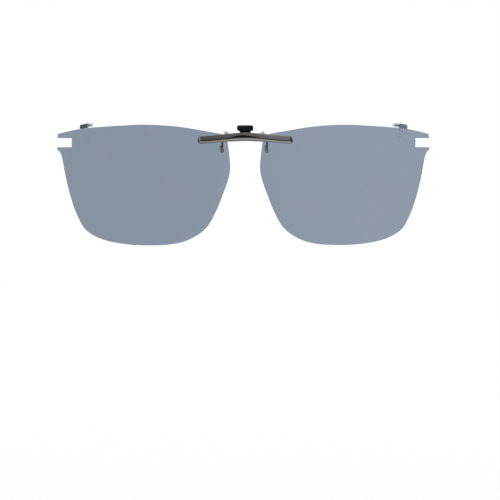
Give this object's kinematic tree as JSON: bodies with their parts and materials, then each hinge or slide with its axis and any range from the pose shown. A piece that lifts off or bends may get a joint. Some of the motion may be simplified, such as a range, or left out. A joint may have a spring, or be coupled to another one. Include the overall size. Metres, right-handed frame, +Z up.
{
  "type": "clip-on sunglasses",
  "caption": "Rimless clip-on sunglasses: tinted lenses with temple notches on a bowed bridge bar, with a sprung pinch clamp and side hooks that hold a pair of spectacles.",
  "frame": {"origin": "middle of the spectacle bridge's front face, where the clamp's bumper rests on it, on the clip's mirror plane and at the height of the bridge bar's middle", "axes": "+X across the face to the right as seen from in front, +Y back towards the wearer, +Z up"},
  "size_m": [0.14, 0.0155, 0.0458],
  "materials": {
    "lens_tint": "polished blue-grey polarised plastic",
    "gunmetal": "polished gunmetal plating",
    "steel": "dull nickel plating",
    "black_plastic": "satin",
    "nylon": "satin",
    "silicone": "clear silicone",
    "clear_plastic": "clear, polished"
  },
  "bodies": {
    "front": {"bridge_cover": "gunmetal", "bridge_chassis": "steel", "bridge_bumper": "silicone", "hinge_pin": "steel", "lower_claw_wire": "steel", "lens_left": "lens_tint", "lens_right": "lens_tint", "lens_screw_inner_left": "steel", "lens_screw_inner_right": "steel", "lens_screw_outer_left": "steel", "lens_screw_outer_right": "steel", "lens_bush_inner_left": "nylon", "lens_bush_inner_right": "nylon", "lens_bush_outer_left": "nylon", "lens_bush_outer_right": "nylon", "lever_spring_left": "steel", "lever_spring_right": "steel", "lower_sleeve_left": "silicone", "lower_sleeve_right": "silicone", "hook_left": "gunmetal", "hook_right": "gunmetal", "hook_sleeve_left": "silicone", "hook_sleeve_right": "silicone", "hook_foot_left": "clear_plastic", "hook_foot_right": "clear_plastic"},
    "lever": {"claw_lever": "steel", "pinch_tab": "black_plastic", "upper_claw_left": "steel", "upper_claw_right": "steel", "upper_sleeve_left": "silicone", "upper_sleeve_right": "silicone"}
  },
  "joints": [
    {"name": "claw_pinch", "type": "hinge", "parent": "front", "child": "lever", "pos_m": [0, -0.00345, -0.0001], "axis": [1, 0, 0], "range_deg": [0, 18], "stiffness_Nm_per_rad": 0.0008, "springref_deg": -5.73, "deforming": ["lever_spring_left", "lever_spring_right"]}
  ]
}
